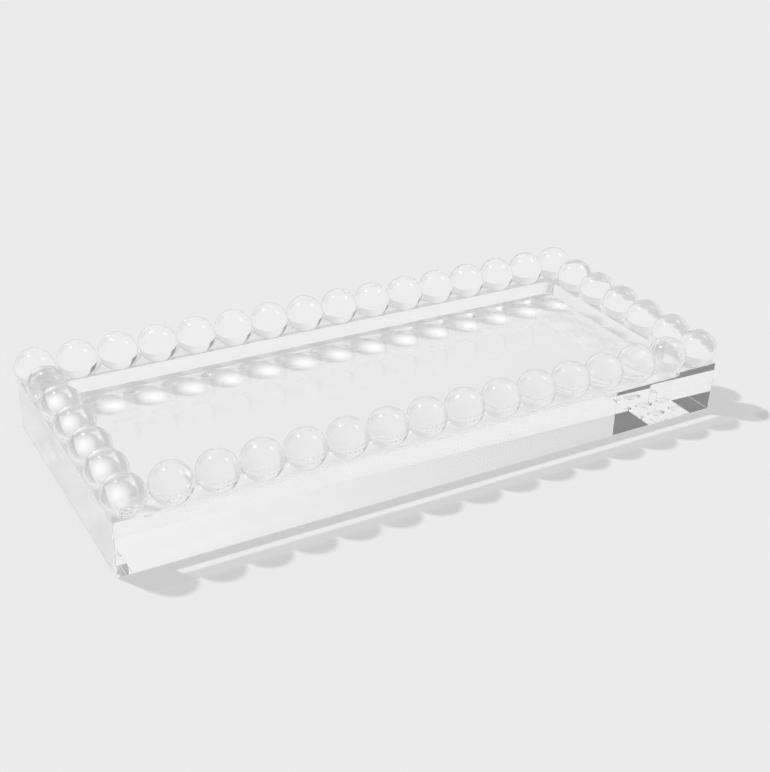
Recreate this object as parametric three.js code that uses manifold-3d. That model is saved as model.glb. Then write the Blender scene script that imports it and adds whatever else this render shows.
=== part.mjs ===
// Dresser vanity tray: a thick clear block with a shallow rectangular well in its top, and a row of clear
// balls standing all round the rim. Each ball is a sphere ground flat underneath and cemented to the rim.
//
// Millimetres, +Z up. The origin is the middle of the underside, +X runs along the length and the front is at -Y.

import * as THREE from 'three';
import { mergeVertices } from 'three/addons/utils/BufferGeometryUtils.js';
import Module from 'manifold-3d';

// Balls
const BALL_RADIUS = 9;
const BALL_PITCH = 19.08;        // centre to centre, the same along both sides
const BALLS_LONG = 16;           // in a long row, counting both corner balls
const BALLS_SHORT = 7;           // in a short row, counting both corner balls
const BALL_CENTRE_HEIGHT = 6.5;  // above the rim, so the ground flat is 12.4 across

// Block
const EDGE_TO_BALL = 6.9;        // from the block's side face to the ball centres
const BLOCK_HEIGHT = 25;
const BLOCK_LENGTH = BALL_PITCH * (BALLS_LONG - 1) + 2 * EDGE_TO_BALL;
const BLOCK_WIDTH = BALL_PITCH * (BALLS_SHORT - 1) + 2 * EDGE_TO_BALL;

// Well
const RIM_WIDTH = 2 * EDGE_TO_BALL;  // the balls stand along the middle of the rim
const WELL_DEPTH = 7;
const WELL_CORNER_RADIUS = 4.5;
const WELL_CUT_ABOVE = 5;            // how far the cutting solid stands above the rim

// Facets
const BALL_SIDES = 16;
const BALL_LOWER_STEPS = 3;  // from the ground flat up to the widest ring
const BALL_UPPER_STEPS = 5;  // from the widest ring up to the top
const CORNER_STEPS = 5;

const wasm = await Module();
wasm.setup();

/** A manifold solid with the geometry's shape. */
function toSolid(geometry) {
  const bare = geometry.clone();
  bare.deleteAttribute('normal');
  bare.deleteAttribute('uv');
  const merged = mergeVertices(bare, 1e-4);
  return new wasm.Manifold(new wasm.Mesh({
    numProp: 3,
    vertProperties: new Float32Array(merged.attributes.position.array),
    triVerts: new Uint32Array(merged.index.array),
  }));
}

/** The solid's surface as flat-shaded three.js geometry. */
function toGeometry(solid) {
  const { numProp, vertProperties, triVerts } = solid.getMesh();
  const positions = new Float32Array((vertProperties.length / numProp) * 3);
  for (let i = 0; i < positions.length / 3; i += 1) {
    positions.set(vertProperties.subarray(i * numProp, i * numProp + 3), i * 3);
  }
  const indexed = new THREE.BufferGeometry();
  indexed.setAttribute('position', new THREE.BufferAttribute(positions, 3));
  indexed.setIndex(new THREE.BufferAttribute(new Uint32Array(triVerts), 1));
  const flat = indexed.toNonIndexed();
  flat.computeVertexNormals();
  return flat;
}

/** A rectangle about the origin, with round corners where a radius is given. */
function rectangle(length, width, radius = 0) {
  const x = length / 2;
  const y = width / 2;
  const shape = new THREE.Shape();
  if (radius === 0) {
    shape.moveTo(-x, -y).lineTo(x, -y).lineTo(x, y).lineTo(-x, y).closePath();
    return shape;
  }
  shape.absarc(x - radius, y - radius, radius, 0, Math.PI / 2);
  shape.absarc(radius - x, y - radius, radius, Math.PI / 2, Math.PI);
  shape.absarc(radius - x, radius - y, radius, Math.PI, 1.5 * Math.PI);
  shape.absarc(x - radius, radius - y, radius, 1.5 * Math.PI, 2 * Math.PI);
  return shape;
}

/** An outline raised into a solid that stands on z = 0. */
function raise(shape, height) {
  return new THREE.ExtrudeGeometry(shape, { depth: height, bevelEnabled: false, curveSegments: CORNER_STEPS });
}

/** The block, sharp-edged outside, with its flat-floored well milled from above. */
function blockGeometry() {
  const body = raise(rectangle(BLOCK_LENGTH, BLOCK_WIDTH), BLOCK_HEIGHT);
  const wellLength = BLOCK_LENGTH - 2 * RIM_WIDTH;
  const wellWidth = BLOCK_WIDTH - 2 * RIM_WIDTH;
  const well = raise(rectangle(wellLength, wellWidth, WELL_CORNER_RADIUS), WELL_DEPTH + WELL_CUT_ABOVE);
  well.translate(0, 0, BLOCK_HEIGHT - WELL_DEPTH);
  return toGeometry(toSolid(body).subtract(toSolid(well)));
}

/** One ball, standing on its ground flat at z = 0. */
function ballGeometry() {
  const flatAngle = -Math.asin(BALL_CENTRE_HEIGHT / BALL_RADIUS);
  const ring = (angle) => new THREE.Vector2(
    BALL_RADIUS * Math.cos(angle),
    BALL_CENTRE_HEIGHT + BALL_RADIUS * Math.sin(angle),
  );
  const profile = [new THREE.Vector2(0, 0)];
  const flatEdge = ring(flatAngle);
  profile.push(new THREE.Vector2(flatEdge.x, 0));
  for (let i = 1; i <= BALL_LOWER_STEPS; i += 1) {
    profile.push(ring(flatAngle * (1 - i / BALL_LOWER_STEPS)));
  }
  for (let i = 1; i < BALL_UPPER_STEPS; i += 1) {
    profile.push(ring((Math.PI / 2) * (i / BALL_UPPER_STEPS)));
  }
  profile.push(new THREE.Vector2(0, BALL_CENTRE_HEIGHT + BALL_RADIUS));
  return new THREE.LatheGeometry(profile, BALL_SIDES).rotateX(Math.PI / 2);
}

const clear = { transparent: true, metalness: 0, roughness: 0.03 };
const blockGlass = new THREE.MeshStandardMaterial({ ...clear, color: 0xe9efee, opacity: 0.35 });
const ballGlass = new THREE.MeshStandardMaterial({ ...clear, color: 0xf1f5f5, opacity: 0.35 });

const tray = new THREE.Group();

const block = new THREE.Mesh(blockGeometry(), blockGlass);
block.name = 'tray_block';
tray.add(block);

const oneBall = ballGeometry();

/** Cements a ball to the rim at a place counted in pitches from the front left corner ball. */
function addBall(name, along, across) {
  const ball = new THREE.Mesh(oneBall, ballGlass);
  ball.name = name;
  ball.position.set(
    EDGE_TO_BALL - BLOCK_LENGTH / 2 + along * BALL_PITCH,
    EDGE_TO_BALL - BLOCK_WIDTH / 2 + across * BALL_PITCH,
    BLOCK_HEIGHT,
  );
  tray.add(ball);
}

const two = (number) => String(number).padStart(2, '0');
for (let i = 0; i < BALLS_LONG; i += 1) {
  addBall(`ball_front_${two(i + 1)}`, i, 0);
  addBall(`ball_back_${two(i + 1)}`, i, BALLS_SHORT - 1);
}
for (let j = 1; j < BALLS_SHORT - 1; j += 1) {
  addBall(`ball_left_${j}`, 0, j);
  addBall(`ball_right_${j}`, BALLS_LONG - 1, j);
}

export default tray;
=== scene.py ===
import math
import bmesh
import bpy
from mathutils import Matrix, Vector
from mathutils.geometry import delaunay_2d_cdt


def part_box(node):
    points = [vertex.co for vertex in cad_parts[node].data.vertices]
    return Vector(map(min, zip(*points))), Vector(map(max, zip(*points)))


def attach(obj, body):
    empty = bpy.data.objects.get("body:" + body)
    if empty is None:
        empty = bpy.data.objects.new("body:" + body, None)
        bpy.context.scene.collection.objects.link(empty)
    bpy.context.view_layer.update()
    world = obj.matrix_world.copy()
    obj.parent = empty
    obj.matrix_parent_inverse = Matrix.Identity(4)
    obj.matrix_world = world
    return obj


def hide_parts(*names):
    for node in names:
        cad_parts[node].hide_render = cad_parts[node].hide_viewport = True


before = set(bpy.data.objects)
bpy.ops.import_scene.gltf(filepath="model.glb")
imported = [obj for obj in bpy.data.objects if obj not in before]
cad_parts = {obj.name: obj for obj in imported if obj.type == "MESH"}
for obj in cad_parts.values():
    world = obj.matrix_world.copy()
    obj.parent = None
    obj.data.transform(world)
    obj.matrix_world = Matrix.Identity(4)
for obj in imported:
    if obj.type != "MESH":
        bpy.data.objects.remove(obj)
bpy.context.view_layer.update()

# ---------------------------------------------------------------------------------------------------------
# The tray block is one thick slab of clear crystal glass, sawn square with a shallow well milled into its
# top. Its long sides, top, well floor and foot are polished clear, and its ends and the well's round corners
# are left satin. Each sharp edge is only broken by a hair-thin chamfer.
# ---------------------------------------------------------------------------------------------------------
BLOCK_LOW, BLOCK_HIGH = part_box("tray_block")
HALF_LENGTH, HALF_WIDTH, BLOCK_TOP = BLOCK_HIGH
CHAMFER = 0.0001
WELL_DEPTH = 0.007
WELL_CORNER = 0.0045
WELL_FILLET = 0.0002
CORNER_STEPS = 14
WELL_FLOOR = BLOCK_TOP - WELL_DEPTH

# The balls stand along the middle of the rim, so the first of them gives the rim's width.
ball_nodes = sorted(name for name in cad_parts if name.startswith("ball_"))
first_low, first_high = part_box("ball_front_01")
BALL_RADIUS = (first_high.x - first_low.x) / 2
BALL_RISE = first_high.z - BALL_RADIUS - BLOCK_TOP
FLAT_RADIUS = math.sqrt(BALL_RADIUS**2 - BALL_RISE**2)
RIM_WIDTH = 2 * (first_low.x + BALL_RADIUS - BLOCK_LOW.x)
WELL_HALF_LENGTH = HALF_LENGTH - RIM_WIDTH
WELL_HALF_WIDTH = HALF_WIDTH - RIM_WIDTH

# A drop of clear cement fills the joint under each ball, short of the edge of the ball's ground flat.
CEMENT_RADIUS = FLAT_RADIUS * 0.86
CEMENT_STEPS = 48


def ball_foot(node):
    """The point on the rim where a ball's flat is centred."""
    low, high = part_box(node)
    return Vector(((low.x + high.x) / 2, (low.y + high.y) / 2, BLOCK_TOP))


ball_feet = {name: ball_foot(name) for name in ball_nodes}


def round_cornered(half_x, half_y, radius, steps):
    """Points round a rectangle with round corners, anticlockwise from the front right corner."""
    points = []
    for quarter, (side_x, side_y) in enumerate([(1, -1), (1, 1), (-1, 1), (-1, -1)]):
        for step in range(steps + 1):
            turn = (quarter - 1 + step / steps) * math.pi / 2
            x = side_x * (half_x - radius) + radius * math.cos(turn)
            y = side_y * (half_y - radius) + radius * math.sin(turn)
            points.append((x, y))
    return points


def circle(centre, radius, steps):
    turns = [2 * math.pi * step / steps for step in range(steps)]
    return [(centre.x + radius * math.cos(turn), centre.y + radius * math.sin(turn)) for turn in turns]


work = bmesh.new()
SMOOTH_UP_TO = 0.002  # only the short faces of a round corner are shaded smooth


def raise_loop(points, z):
    return [work.verts.new((x, y, z)) for x, y in points]


def join_loops(lower, upper):
    """Side faces between two loops that run anticlockwise, facing away from the middle."""
    for here in range(len(lower)):
        after = (here + 1) % len(lower)
        face = work.faces.new((lower[here], lower[after], upper[after], upper[here]))
        face.smooth = (lower[after].co - lower[here].co).length < SMOOTH_UP_TO


foot_points = round_cornered(HALF_LENGTH - CHAMFER, HALF_WIDTH - CHAMFER, CHAMFER, 2)
side_points = round_cornered(HALF_LENGTH, HALF_WIDTH, 2 * CHAMFER, 2)
foot = raise_loop(foot_points, 0)
side_low = raise_loop(side_points, CHAMFER)
side_high = raise_loop(side_points, BLOCK_TOP - CHAMFER)
work.faces.new(list(reversed(foot)))
join_loops(foot, side_low)
join_loops(side_low, side_high)

# The rim is one flat face with the well's mouth and the cemented discs marked out on it.
mouth_points = round_cornered(WELL_HALF_LENGTH + CHAMFER, WELL_HALF_WIDTH + CHAMFER,
                              WELL_CORNER + CHAMFER, CORNER_STEPS)
outlines = [foot_points, mouth_points]
outlines += [circle(ball_feet[name], CEMENT_RADIUS, CEMENT_STEPS) for name in ball_nodes]
marks, loops = [], []
for outline in outlines:
    loops.append(list(range(len(marks), len(marks) + len(outline))))
    marks += [Vector(point) for point in outline]
SAME_POINT = 1e-7
flat = delaunay_2d_cdt(marks, [], loops, 0, SAME_POINT)
flat_points, _, flat_faces, point_origins, _, face_origins = flat
rim_verts = raise_loop([(point.x, point.y) for point in flat_points], BLOCK_TOP)
for corners, inside in zip(flat_faces, face_origins):
    if 0 in inside and 1 not in inside:
        face = work.faces.new([rim_verts[corner] for corner in corners])
        face.material_index = 1 if len(inside) > 1 else 0
        face.normal_update()
        if face.normal.z < 0:
            face.normal_flip()
made_from = {mark: rim_verts[point] for point, marked in enumerate(point_origins) for mark in marked}
join_loops(side_high, [made_from[mark] for mark in loops[0]])

# The well's wall runs down from its chamfered mouth to a tight fillet round its floor.
FILLET_STEPS = 4
wall = [[made_from[mark] for mark in loops[1]]]
levels = [(0, BLOCK_TOP - CHAMFER)]
for step in range(FILLET_STEPS + 1):
    turn = step / FILLET_STEPS * math.pi / 2
    levels.append((WELL_FILLET * (1 - math.cos(turn)), WELL_FLOOR + WELL_FILLET * (1 - math.sin(turn))))
for inset, z in levels:
    half_x, half_y = WELL_HALF_LENGTH - inset, WELL_HALF_WIDTH - inset
    wall.append(raise_loop(round_cornered(half_x, half_y, WELL_CORNER - inset, CORNER_STEPS), z))
for upper, lower in zip(wall, wall[1:]):
    join_loops(list(reversed(lower)), list(reversed(upper)))
work.faces.new(wall[-1])
bmesh.ops.delete(work, geom=[vert for vert in work.verts if not vert.link_faces], context="VERTS")

block_mesh = bpy.data.meshes.new("tray_block_polished")
work.to_mesh(block_mesh)
work.free()
block = bpy.data.objects.new("tray_block_polished", block_mesh)
bpy.context.scene.collection.objects.link(block)


def math_node(tree, operation, *values):
    """A Math node whose inputs are numbers or sockets; gives back its output."""
    node = tree.nodes.new("ShaderNodeMath")
    node.operation = operation
    for socket, value in zip(node.inputs, values):
        if isinstance(value, bpy.types.NodeSocket):
            tree.links.new(value, socket)
        else:
            socket.default_value = value
    return node.outputs[0]


WHITE = (1, 1, 1, 1)
GLASS_INDEX = 1.5
HAZE_DETAIL = 3
HAZE_STARTS, HAZE_FULL = 0.45, 0.75  # how thick the cloud is where haze begins, and where it is full


def hand_polish_group():
    """What hand polishing leaves on clear glass: a cloudy trace of haze and a breath of tint."""
    group = bpy.data.node_groups.new("hand_polish", "ShaderNodeTree")
    for name, kind, side in [("Scale", "NodeSocketFloat", "INPUT"), ("Haze", "NodeSocketFloat", "INPUT"),
                             ("Glass", "NodeSocketColor", "INPUT"), ("Color", "NodeSocketColor", "OUTPUT"),
                             ("Roughness", "NodeSocketFloat", "OUTPUT")]:
        group.interface.new_socket(name, in_out=side, socket_type=kind)
    given = group.nodes.new("NodeGroupInput")
    result = group.nodes.new("NodeGroupOutput")
    where = group.nodes.new("ShaderNodeTexCoord")
    cloud = group.nodes.new("ShaderNodeTexNoise")
    cloud.inputs["Detail"].default_value = HAZE_DETAIL
    group.links.new(where.outputs["Object"], cloud.inputs["Vector"])
    group.links.new(given.outputs["Scale"], cloud.inputs["Scale"])
    rubbed = group.nodes.new("ShaderNodeMapRange")
    group.links.new(cloud.outputs["Fac"], rubbed.inputs["Value"])
    rubbed.inputs["From Min"].default_value = HAZE_STARTS
    rubbed.inputs["From Max"].default_value = HAZE_FULL
    group.links.new(math_node(group, "MULTIPLY", rubbed.outputs["Result"], given.outputs["Haze"]),
                    result.inputs["Roughness"])
    tinted = group.nodes.new("ShaderNodeMix")
    tinted.data_type = "RGBA"
    group.links.new(cloud.outputs["Fac"], tinted.inputs["Factor"])
    tinted.inputs[6].default_value = WHITE
    group.links.new(given.outputs["Glass"], tinted.inputs[7])
    group.links.new(tinted.outputs[2], result.inputs["Color"])
    return group


hand_polish = hand_polish_group()


def crystal(name, scale, haze, tint, coat, coat_roughness):
    """Clear polished glass, which lamp light goes through as through a pane of plain tinted film."""
    material = bpy.data.materials.new(name)
    material.use_nodes = True
    tree = material.node_tree
    tree.nodes.clear()
    out = tree.nodes.new("ShaderNodeOutputMaterial")
    glass = tree.nodes.new("ShaderNodeBsdfPrincipled")
    glass.inputs["IOR"].default_value = GLASS_INDEX
    glass.inputs["Transmission Weight"].default_value = 1
    glass.inputs["Coat Weight"].default_value = coat
    glass.inputs["Coat Roughness"].default_value = coat_roughness
    polish = tree.nodes.new("ShaderNodeGroup")
    polish.node_tree = hand_polish
    polish.inputs["Scale"].default_value = scale
    polish.inputs["Haze"].default_value = haze
    polish.inputs["Glass"].default_value = tint
    tree.links.new(polish.outputs["Color"], glass.inputs["Base Color"])
    tree.links.new(polish.outputs["Roughness"], glass.inputs["Roughness"])
    pane = tree.nodes.new("ShaderNodeBsdfTransparent")
    ray = tree.nodes.new("ShaderNodeLightPath")
    to_lamp = math_node(tree, "MAXIMUM", ray.outputs["Is Shadow Ray"], ray.outputs["Is Diffuse Ray"])
    mix = tree.nodes.new("ShaderNodeMixShader")
    tree.links.new(to_lamp, mix.inputs[0])
    tree.links.new(glass.outputs[0], mix.inputs[1])
    tree.links.new(pane.outputs[0], mix.inputs[2])
    tree.links.new(mix.outputs[0], out.inputs[0])
    return material, glass, polish, pane.inputs["Color"], ray


GLASS_TINT = (0.985, 0.995, 0.985, 1)
HAZE = 0.01
BLOCK_CLOUDS = 18
block_parts = crystal("block_glass", BLOCK_CLOUDS, HAZE, GLASS_TINT, coat=0, coat_roughness=0)
block_glass, block_shader, block_polish, block_pane, block_ray = block_parts

# Lamp light that goes in through the rim or the well is trapped by the side faces. Only what crosses the
# well's wall first gets out of them again, as a thin sheet that leaves half way up.
TRAPPED, ABOVE_SHEET, ESCAPES = 0.31, 0.48, 1.0
SHEET_LOW, SHEET_HIGH = BLOCK_TOP * 0.385, BLOCK_TOP * 0.61
SHEET_DRIFT = RIM_WIDTH / 3  # how far the sheet slides along the tray on its way through the rim
SQUARE_ON = 0.5  # a face whose normal reaches this far along an axis is taken to face that way
tree = block_glass.node_tree
surface = tree.nodes.new("ShaderNodeNewGeometry")
facing = tree.nodes.new("ShaderNodeSeparateXYZ")
tree.links.new(surface.outputs["True Normal"], facing.inputs[0])
place = tree.nodes.new("ShaderNodeSeparateXYZ")
tree.links.new(surface.outputs["Position"], place.inputs[0])
level = math_node(tree, "GREATER_THAN", math_node(tree, "ABSOLUTE", facing.outputs["Z"]), SQUARE_ON)
open_way = math_node(tree, "MAXIMUM", level, surface.outputs["Backfacing"])
open_way = math_node(tree, "MAXIMUM", open_way, block_ray.outputs["Is Diffuse Ray"])
from_well = math_node(tree, "COMPARE", place.outputs["X"], SHEET_DRIFT, WELL_HALF_LENGTH)
front_face = math_node(tree, "LESS_THAN", facing.outputs["Y"], -SQUARE_ON)
front_face = math_node(tree, "MULTIPLY", front_face, from_well)
above_low = math_node(tree, "GREATER_THAN", place.outputs["Z"], SHEET_LOW)
above_high = math_node(tree, "GREATER_THAN", place.outputs["Z"], SHEET_HIGH)
front_light = math_node(tree, "MULTIPLY_ADD", above_low, ESCAPES - TRAPPED, TRAPPED)
front_light = math_node(tree, "MULTIPLY_ADD", above_high, ABOVE_SHEET - ESCAPES, front_light)
side_light = math_node(tree, "MAXIMUM", math_node(tree, "MULTIPLY", front_light, front_face), TRAPPED)
passed = math_node(tree, "MAXIMUM", side_light, open_way)
tree.links.new(passed, block_pane)

# The two end faces are sawn and only brought to a satin, which blurs what shows through them from outside.
END_SATIN = 0.15
end_face = math_node(tree, "GREATER_THAN", math_node(tree, "ABSOLUTE", facing.outputs["X"]), SQUARE_ON)
end_face = math_node(tree, "SUBTRACT", end_face, surface.outputs["Backfacing"])
satin = math_node(tree, "MULTIPLY_ADD", math_node(tree, "MAXIMUM", end_face, 0), END_SATIN,
                  block_polish.outputs["Roughness"])

# The cutter's round corners in the well are too tight for the polishing wheel, so they stay satin as well.
CORNER_SATIN = 0.35
BETWEEN_AXES = 0.05  # a normal turned even this little from both axes is on a round corner
both_ways = math_node(tree, "MULTIPLY", facing.outputs["X"], facing.outputs["Y"])
tight_corner = math_node(tree, "GREATER_THAN", math_node(tree, "ABSOLUTE", both_ways), BETWEEN_AXES)
satin = math_node(tree, "MULTIPLY_ADD", tight_corner, CORNER_SATIN, satin)
tree.links.new(satin, block_shader.inputs["Roughness"])

# The cement bends light just as the glass does, so that light crosses the joint as if nothing were there.
cement = bpy.data.materials.new("clear_cement")
cement.use_nodes = True
cement.node_tree.nodes.clear()
cement_out = cement.node_tree.nodes.new("ShaderNodeOutputMaterial")
cement_clear = cement.node_tree.nodes.new("ShaderNodeBsdfTransparent")
cement.node_tree.links.new(cement_clear.outputs[0], cement_out.inputs[0])
block_mesh.materials.append(block_glass)
block_mesh.materials.append(cement)
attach(block, "root")
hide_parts("tray_block")

# ---------------------------------------------------------------------------------------------------------
# Forty-two solid glass balls stand shoulder to shoulder along the rim. Each is ground flat underneath and
# cemented down with a clear index-matched film, so that ball and block read as one piece of glass.
# ---------------------------------------------------------------------------------------------------------
ORIGIN = Vector((0, 0))
BALL_ROUND = 96
BALL_RINGS = 44
GLUE_LINE = 0.00003  # the flat's rim stands this far off the block, where the cement stops short
BALL_CLOUDS = 60
BALL_SHINE, BALL_SHINE_SPREAD = 0.3, 0.10
BALL_PANE = (0.97, 0.97, 0.97, 1)
ball_parts = crystal("ball_glass", BALL_CLOUDS, HAZE, GLASS_TINT, BALL_SHINE, BALL_SHINE_SPREAD)
ball_glass, ball_shader, ball_polish, ball_pane, _ = ball_parts
ball_pane.default_value = BALL_PANE

# Light that only grazes a ball is bent far aside, which darkens a thin line round the ball. Here that line
# is painted shade, greying the ball's colour towards its outline.
EDGE_PAINTED_SHADE = (0.42, 0.42, 0.42, 1)
EDGE_STARTS, EDGE_FULL = 0.66, 0.92
tree = ball_glass.node_tree
slant = tree.nodes.new("ShaderNodeLayerWeight")
grazing = tree.nodes.new("ShaderNodeMapRange")
grazing.interpolation_type = "SMOOTHSTEP"
grazing.inputs["From Min"].default_value = EDGE_STARTS
grazing.inputs["From Max"].default_value = EDGE_FULL
tree.links.new(slant.outputs["Facing"], grazing.inputs["Value"])
# Painted shade: the ball's colour turns grey towards its outline.
painted_outline = tree.nodes.new("ShaderNodeMix")
painted_outline.data_type = "RGBA"
tree.links.new(grazing.outputs["Result"], painted_outline.inputs["Factor"])
tree.links.new(ball_polish.outputs["Color"], painted_outline.inputs[6])
painted_outline.inputs[7].default_value = EDGE_PAINTED_SHADE
tree.links.new(painted_outline.outputs[2], ball_shader.inputs["Base Color"])


def ball_mesh(name):
    """A ball turned about Z above its foot, with the cemented disc as a face of its own."""
    work = bmesh.new()
    lowest = math.asin((GLUE_LINE - BALL_RISE) / BALL_RADIUS)
    profile = [(CEMENT_RADIUS, 0)]
    for step in range(BALL_RINGS):
        turn = lowest + (math.pi / 2 - lowest) * step / BALL_RINGS
        profile.append((BALL_RADIUS * math.cos(turn), BALL_RISE + BALL_RADIUS * math.sin(turn)))
    rings = []
    for radius, z in profile:
        points = circle(ORIGIN, radius, BALL_ROUND)
        rings.append([work.verts.new((x, y, z)) for x, y in points])
    crown = work.verts.new((0, 0, BALL_RISE + BALL_RADIUS))
    for ring_index, (lower, upper) in enumerate(zip(rings, rings[1:])):
        for here in range(BALL_ROUND):
            after = (here + 1) % BALL_ROUND
            face = work.faces.new((lower[here], lower[after], upper[after], upper[here]))
            face.smooth = ring_index > 0
    for here in range(BALL_ROUND):
        face = work.faces.new((rings[-1][here], rings[-1][(here + 1) % BALL_ROUND], crown))
        face.smooth = True
    disc = work.faces.new(list(reversed(rings[0])))
    disc.material_index = 1
    mesh = bpy.data.meshes.new(name)
    work.to_mesh(mesh)
    work.free()
    mesh.materials.append(ball_glass)
    mesh.materials.append(cement)
    return mesh


balls = []
for node in ball_nodes:
    ball = bpy.data.objects.new(node + "_polished", ball_mesh(node + "_polished"))
    ball.location = ball_feet[node]
    bpy.context.scene.collection.objects.link(ball)
    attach(ball, "root")
    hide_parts(node)
    balls.append(ball)

# ---------------------------------------------------------------------------------------------------------
# The table is a plain pale board. The patch under the tray is a separate sheet of the same board, so that
# the light that has come down through the glass can be set for it alone.
# ---------------------------------------------------------------------------------------------------------
BOARD_REACH = 40
BOARD_STEPS = 96
SHEET_GAP = 0.00005
BOARD_GREY = 0.66
BOARD_ROUGHNESS = 0.9
THROUGH_GLASS = 0.03


def board_paint(name, through_glass):
    """Matt pale paint, with a little more light in it where it is seen through the glass."""
    material = bpy.data.materials.new(name)
    material.use_nodes = True
    tree = material.node_tree
    paint = tree.nodes["Principled BSDF"]
    paint.inputs["Base Color"].default_value = (BOARD_GREY, BOARD_GREY, BOARD_GREY, 1)
    paint.inputs["Roughness"].default_value = BOARD_ROUGHNESS
    paint.inputs["Specular IOR Level"].default_value = 0
    paint.inputs["Emission Color"].default_value = WHITE
    ray = tree.nodes.new("ShaderNodeLightPath")
    unseen = math_node(tree, "SUBTRACT", 1, ray.outputs["Is Camera Ray"])
    tree.links.new(math_node(tree, "MULTIPLY", unseen, through_glass), paint.inputs["Emission Strength"])
    return material


def flat_sheet(name, outlines, z, material):
    """One mesh of flat faces at height z."""
    work = bmesh.new()
    for outline in outlines:
        work.faces.new([work.verts.new((x, y, z)) for x, y in outline])
    mesh = bpy.data.meshes.new(name)
    work.to_mesh(mesh)
    work.free()
    mesh.materials.append(material)
    made = bpy.data.objects.new(name, mesh)
    bpy.context.scene.collection.objects.link(made)
    return made


def rectangle(x0, y0, x1, y1):
    return [(x0, y0), (x1, y0), (x1, y1), (x0, y1)]


under_tray = rectangle(-HALF_LENGTH, -HALF_WIDTH, HALF_LENGTH, HALF_WIDTH)
board = flat_sheet("board", [circle(ORIGIN, BOARD_REACH, BOARD_STEPS)], -2 * SHEET_GAP,
                   board_paint("board_paint", THROUGH_GLASS))
patch = flat_sheet("board_under_tray", [under_tray], -SHEET_GAP, board_paint("board_paint_under_tray", 0))

# ---------------------------------------------------------------------------------------------------------
# The key lamp stands behind the tray on the left. A twin of it, set to the steeper slope that light takes
# inside glass, lights only the patch under the tray, past cards cut to the shadows that fall there.
# ---------------------------------------------------------------------------------------------------------
KEY_PLACE = Vector((-0.440, 0.431, 0.905))
KEY_POWER = 19.3
KEY_SIZE = 0.03
LEAST_STEEP = 0.02  # the shallowest slope that a lamp is levelled for
SOFT_SHARE = 0.22  # of the light that comes down through the glass, this much is the soft box's


def point_lamp(name, place, power):
    """A small round lamp that lights the whole table evenly, however far off or slanting."""
    data = bpy.data.lights.new(name, "POINT")
    data.shadow_soft_size = KEY_SIZE
    data.use_nodes = True
    tree = data.node_tree
    way_out = tree.nodes.new("ShaderNodeTexCoord")
    downward = tree.nodes.new("ShaderNodeSeparateXYZ")
    tree.links.new(way_out.outputs["Normal"], downward.inputs[0])
    steepness = math_node(tree, "ABSOLUTE", downward.outputs["Z"])
    steepness = math_node(tree, "MAXIMUM", steepness, LEAST_STEEP)
    even = tree.nodes.new("ShaderNodeLightFalloff")
    tree.links.new(math_node(tree, "DIVIDE", 1, steepness), even.inputs["Strength"])
    tree.links.new(even.outputs["Constant"], tree.nodes["Emission"].inputs["Strength"])
    data.energy = power
    made = bpy.data.objects.new(name, data)
    made.location = place
    bpy.context.scene.collection.objects.link(made)
    return made


def bent_down(ray):
    """A ray of light after it has gone in through the top of the block."""
    bent = Vector((ray.x / GLASS_INDEX, ray.y / GLASS_INDEX, 0))
    bent.z = -math.sqrt(1 - bent.length_squared)
    return bent


def twin_place(place):
    """Where a lamp's twin stands: straight above or below it, at the slope its light takes in glass."""
    bent = bent_down(-place.normalized())
    return Vector((place.x, place.y, place.x * bent.z / bent.x))


ray_down = -KEY_PLACE.normalized()
in_glass = bent_down(ray_down)
key_lamp = point_lamp("key_lamp", KEY_PLACE, KEY_POWER)
twin_lamp = point_lamp("key_lamp_in_glass", twin_place(KEY_PLACE), KEY_POWER * (1 - SOFT_SHARE))

air_slope = ray_down / -ray_down.z       # travel along X and Y for each metre down, in air
glass_slope = in_glass / -in_glass.z     # and in glass
CARD_GAP = 0.00002                       # the cards stand this far off the rim
CARD_LEVEL = BLOCK_TOP + CARD_GAP


def shade(name, colour_of):
    """A see-through material for shading cards."""
    material = bpy.data.materials.new(name)
    material.use_nodes = True
    tree = material.node_tree
    tree.nodes.clear()
    out = tree.nodes.new("ShaderNodeOutputMaterial")
    clear = tree.nodes.new("ShaderNodeBsdfTransparent")
    tree.links.new(clear.outputs[0], out.inputs[0])
    colour_of(tree, clear.inputs["Color"])
    return material


def plain_grey(level):
    def colour_of(tree, socket):
        socket.default_value = (level, level, level, 1)
    return colour_of


# A ball's focus, in ball radii: how far it lies from the middle of the ball's shadow, and how wide it is.
CORE_SHIFT = 0.40
CORE_REACH = 0.82
CORE_HALF_WAY = 0.55  # the part of that width where half of its light is gone
CORE_GAIN = 2.0
BALL_SHADE = 0.25
HALF_LIGHT = (0.5, 0.5, 0.5, 1)
OVAL_STEPS = 40


def focus_of_ball(tree, socket):
    """The dark of a ball's shadow with the bright focus of the ball towards its far end."""
    uv = tree.nodes.new("ShaderNodeUVMap")
    spot = tree.nodes.new("ShaderNodeSeparateXYZ")
    tree.links.new(uv.outputs[0], spot.inputs[0])
    along = math_node(tree, "SUBTRACT", spot.outputs["Y"], CORE_SHIFT)
    aside = math_node(tree, "POWER", spot.outputs["X"], 2)
    reach = math_node(tree, "ADD", aside, math_node(tree, "POWER", along, 2))
    ramp = tree.nodes.new("ShaderNodeValToRGB")
    tree.links.new(math_node(tree, "DIVIDE", math_node(tree, "SQRT", reach), CORE_REACH), ramp.inputs[0])
    ends = ramp.color_ramp.elements
    ends[0].color = WHITE
    ends[1].color = (0, 0, 0, 1)
    middle = ends.new(CORE_HALF_WAY)
    middle.color = HALF_LIGHT
    bright = math_node(tree, "MULTIPLY_ADD", ramp.outputs[0], CORE_GAIN, BALL_SHADE)
    tree.links.new(bright, socket)


def only_shade(card):
    """Leaves a card visible to the lamps alone."""
    for sort in ("camera", "diffuse", "glossy", "transmission", "volume_scatter"):
        setattr(card, "visible_" + sort, False)
    return card


def shading_card(name, outlines, material):
    return only_shade(flat_sheet(name, outlines, CARD_LEVEL, material))


ball_focus = shade("ball_focus", focus_of_ball)


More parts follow.
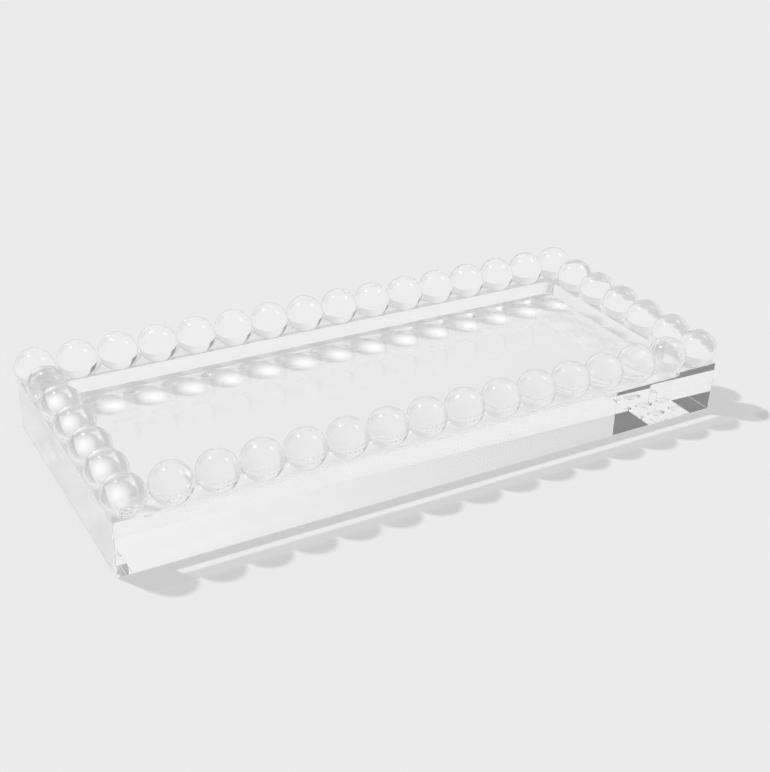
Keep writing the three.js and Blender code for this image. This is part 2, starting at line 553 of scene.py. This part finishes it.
def oval_card(name, ray):
    """Each ball's shadow on the rim's level: a circle drawn out along the light."""
    travel = ray.to_2d().normalized()
    across = Vector((-travel.y, travel.x))
    stretch = 1 / -ray.z
    ovals, marks = [], []
    for node in ball_nodes:
        middle = ball_feet[node].to_2d() + ray.to_2d() * stretch * BALL_RISE
        turns = circle(ORIGIN, 1, OVAL_STEPS)
        ovals.append([tuple(middle + BALL_RADIUS * (across * u + travel * v * stretch)) for u, v in turns])
        marks += turns
    card = shading_card(name, ovals, ball_focus)
    uv_layer = card.data.uv_layers.new(name="UVMap")
    for loop in card.data.loops:
        uv_layer.data[loop.index].uv = marks[loop.vertex_index]
    return card


ball_card = oval_card("ball_shadows", ray_down)

# Strips take light away too: all or most of it at the two sides that face the lamp, and a little along the
# well's right and front walls, which catch it before it reaches the floor.
FRAME = 0.03
LEFT_SHADE, BACK_SHADE, WALL_SHADE = 0, 0.12, 0.75
wall_air = air_slope * WELL_DEPTH
wall_glass = glass_slope * WELL_DEPTH
left, right = -WELL_HALF_LENGTH, WELL_HALF_LENGTH
near, far = -WELL_HALF_WIDTH, WELL_HALF_WIDTH
behind_left = [rectangle(-HALF_LENGTH - FRAME, -HALF_WIDTH - FRAME, -HALF_LENGTH, HALF_WIDTH + FRAME)]
behind_back = [rectangle(-HALF_LENGTH, HALF_WIDTH, HALF_LENGTH + FRAME, HALF_WIDTH + FRAME)]
by_walls = [
    rectangle(right + wall_glass.x - wall_air.x, near, right, far + wall_air.y - wall_glass.y),
    rectangle(left, near, right + wall_glass.x - wall_air.x, near + wall_glass.y - wall_air.y),
]
left_card = shading_card("left_side_shadow", behind_left, shade("left_side_shade", plain_grey(LEFT_SHADE)))
back_card = shading_card("back_side_shadow", behind_back, shade("back_side_shade", plain_grey(BACK_SHADE)))
wall_card = shading_card("wall_shadows", by_walls, shade("wall_shade", plain_grey(WALL_SHADE)))

# Beyond the block the balls throw plain shadows, cut off where the block's own shadow begins.
BEYOND_SHADE = 0.33


def beyond_card(name, row, edge, edge_normal):
    """Discs square to the lamp at the balls of one row, trimmed to what passes over the block's edge."""
    work = bmesh.new()
    sideways = ray_down.cross(Vector((0, 0, 1))).normalized()
    upward = sideways.cross(ray_down)
    turns = circle(ORIGIN, BALL_RADIUS, OVAL_STEPS)
    for node in row:
        centre = ball_feet[node] + Vector((0, 0, BALL_RISE))
        work.faces.new([work.verts.new(centre + sideways * u + upward * v) for u, v in turns])
    bmesh.ops.bisect_plane(work, geom=work.verts[:] + work.edges[:] + work.faces[:], plane_co=edge,
                           plane_no=edge_normal, clear_inner=True)
    mesh = bpy.data.meshes.new(name)
    work.to_mesh(mesh)
    work.free()
    mesh.materials.append(shade(name, plain_grey(BEYOND_SHADE)))
    card = bpy.data.objects.new(name, mesh)
    bpy.context.scene.collection.objects.link(card)
    return only_shade(card)


front_row = [name for name in ball_nodes if name.startswith("ball_front")]
right_row = [name for name in ball_nodes if name.startswith("ball_right")]
right_row += [max(front_row), max(name for name in ball_nodes if name.startswith("ball_back"))]
front_edge = Vector((0, -HALF_WIDTH, BLOCK_TOP))
right_edge = Vector((HALF_LENGTH, 0, BLOCK_TOP))
front_slope = KEY_PLACE - front_edge
right_slope = KEY_PLACE - right_edge
past_front = Vector((0, -front_slope.z, front_slope.y))
past_right = Vector((right_slope.z, 0, -right_slope.x))
front_card = beyond_card("front_shadows", front_row, front_edge, past_front)
right_card = beyond_card("right_shadows", right_row, right_edge, past_right)


def link_lamp(lamp, sort, pieces, state="INCLUDE"):
    """Ties a lamp's light or its shadows to some of the objects."""
    group = bpy.data.collections.new(lamp.name + "_" + sort)
    for piece in pieces:
        group.objects.link(piece)
    setattr(lamp.light_linking, sort + "_collection", group)
    for entry in group.collection_objects:
        entry.light_linking.link_state = state


link_lamp(key_lamp, "receiver", [patch, block], "EXCLUDE")
link_lamp(key_lamp, "blocker", [front_card, right_card, block])
link_lamp(twin_lamp, "receiver", [patch])
link_lamp(twin_lamp, "blocker", [ball_card, left_card, back_card, wall_card])

# A soft box on the right puts a second, gentler highlight on every ball. A twin of its own throws the balls'
# second set of shadows and focuses on the patch under the tray.
SOFT_BOX_WAY = Vector((0.605, -0.129, 0.786))
SOFT_BOX_DISTANCE = 1.1
SOFT_BOX_PLACE = SOFT_BOX_WAY * SOFT_BOX_DISTANCE
SOFT_BOX_SIZE = 0.40
SOFT_BOX_POWER = 0.8
soft_data = bpy.data.lights.new("soft_box", "AREA")
soft_data.shape = "DISK"
soft_data.size = SOFT_BOX_SIZE
soft_data.energy = SOFT_BOX_POWER
soft_box = bpy.data.objects.new("soft_box", soft_data)
soft_box.rotation_mode = "QUATERNION"
soft_box.rotation_quaternion = SOFT_BOX_WAY.to_track_quat("Z", "Y")
soft_box.location = SOFT_BOX_PLACE
bpy.context.scene.collection.objects.link(soft_box)
link_lamp(soft_box, "receiver", balls)
soft_card = oval_card("soft_ball_shadows", -SOFT_BOX_WAY.normalized())
soft_twin = point_lamp("soft_box_in_glass", twin_place(SOFT_BOX_PLACE), KEY_POWER * SOFT_SHARE)
link_lamp(soft_twin, "receiver", [patch])
link_lamp(soft_twin, "blocker", [soft_card])

# ---------------------------------------------------------------------------------------------------------
# The studio is a white tent: a lit backdrop behind the tray that brightens towards the left, an open unlit
# side beyond it, and a dimmer front where the camera stands.
# ---------------------------------------------------------------------------------------------------------
studio = bpy.data.worlds.new("studio")
bpy.context.scene.world = studio
studio.cycles.sampling_method = "NONE"
studio.use_nodes = True
tree = studio.node_tree
tree.nodes.clear()
studio_out = tree.nodes.new("ShaderNodeOutputWorld")
studio_light = tree.nodes.new("ShaderNodeBackground")
tree.links.new(studio_light.outputs[0], studio_out.inputs[0])
direction = tree.nodes.new("ShaderNodeTexCoord")
way = tree.nodes.new("ShaderNodeSeparateXYZ")
tree.links.new(direction.outputs["Generated"], way.inputs[0])
bearing = math_node(tree, "DEGREES", math_node(tree, "ARCTAN2", way.outputs["Y"], way.outputs["X"]))
height = math_node(tree, "DEGREES", math_node(tree, "ARCSINE", way.outputs["Z"]))


def ease(value, low, high, start=0, end=1):
    """Goes smoothly from start to end as the value goes from low to high."""
    node = tree.nodes.new("ShaderNodeMapRange")
    node.interpolation_type = "SMOOTHSTEP"
    tree.links.new(value, node.inputs["Value"])
    for name, number in [("From Min", low), ("From Max", high), ("To Min", start), ("To Max", end)]:
        node.inputs[name].default_value = number
    return node.outputs["Result"]


def between(value, low, high, soft):
    """1 from low to high and 0 outside, with edges this soft."""
    past_low = ease(value, low - soft, low + soft)
    short_of_high = ease(value, high - soft, high + soft, 1, 0)
    return math_node(tree, "MULTIPLY", past_low, short_of_high)


def lay_over(base, mask, value):
    node = tree.nodes.new("ShaderNodeMix")
    tree.links.new(mask, node.inputs["Factor"])
    for name, given in (("A", base), ("B", value)):
        if isinstance(given, bpy.types.NodeSocket):
            tree.links.new(given, node.inputs[name])
        else:
            node.inputs[name].default_value = given
    return node.outputs["Result"]


def wall_of_tent(from_bearing, to_bearing, soft, fades_from, fades_to):
    """The part of the tent between two bearings, up to the height where it fades out."""
    upright = ease(height, fades_from, fades_to, 1, 0)
    return math_node(tree, "MULTIPLY", between(bearing, from_bearing, to_bearing, soft), upright)


# Bearings are degrees anticlockwise from the tray's right end, and heights are degrees above the table. Each
# part of the tent has one brightness, but the backdrop has four: low and high, at its right and its left.
ROOM, FRONT, UNLIT, SEEN = 0.82, 0.76, 0.20, 0.83
LOW_RIGHT, LOW_LEFT = 0.70, 0.84
HIGH_RIGHT, HIGH_LEFT = 0.68, 0.885
front_side = wall_of_tent(-150, -35, 8, 45, 60)
backdrop_low = ease(bearing, 42, 78, LOW_RIGHT, LOW_LEFT)
backdrop_high = ease(bearing, 38, 74, HIGH_RIGHT, HIGH_LEFT)
backdrop = lay_over(backdrop_low, ease(height, 27, 33), backdrop_high)
backdrop_side = wall_of_tent(2, 100, 3, 46, 56)
unlit_side = wall_of_tent(107, 140, 1.5, 38, 41)
light = lay_over(ROOM, front_side, FRONT)
light = lay_over(light, backdrop_side, backdrop)
light = lay_over(light, unlit_side, UNLIT)
look = tree.nodes.new("ShaderNodeLightPath")
light = lay_over(light, look.outputs["Is Camera Ray"], SEEN)
tree.links.new(light, studio_light.inputs["Color"])

# ---------------------------------------------------------------------------------------------------------
# The camera looks down on the front left corner, as a person at the dresser would.
# ---------------------------------------------------------------------------------------------------------
BEARING, RAISED, ROLL = math.radians(-31.26), math.radians(28.24), math.radians(2.59)
AIM = Vector((0.0189, 0.02466, 0))
CAMERA_DISTANCE = 0.61452
LENS = 57.85
back_level = math.cos(RAISED)
back = Vector((math.sin(BEARING) * back_level, -math.cos(BEARING) * back_level, math.sin(RAISED)))
level_right = (-back).cross(Vector((0, 0, 1))).normalized()
level_up = level_right.cross(-back)
camera_right = math.cos(ROLL) * level_right + math.sin(ROLL) * level_up
camera_up = -math.sin(ROLL) * level_right + math.cos(ROLL) * level_up
camera_data = bpy.data.cameras.new("camera")
camera_data.sensor_width = 36
camera_data.lens = LENS
camera_data.clip_start = 0.01
camera_data.clip_end = 200
camera = bpy.data.objects.new("camera", camera_data)
turned = Matrix((camera_right, camera_up, back)).transposed().to_4x4()
camera.matrix_world = Matrix.Translation(AIM + back * CAMERA_DISTANCE) @ turned
bpy.context.scene.collection.objects.link(camera)
bpy.context.scene.camera = camera

# Glass needs long light paths: the block turns light round many times before it lets it out.
GLASS_BOUNCES = 64
CARD_CROSSINGS = 40
scene = bpy.context.scene
scene.view_settings.view_transform = "Standard"
scene.cycles.max_bounces = GLASS_BOUNCES
scene.cycles.transmission_bounces = GLASS_BOUNCES
scene.cycles.glossy_bounces = GLASS_BOUNCES
scene.cycles.transparent_max_bounces = CARD_CROSSINGS
scene.cycles.caustics_reflective = False
scene.cycles.caustics_refractive = False
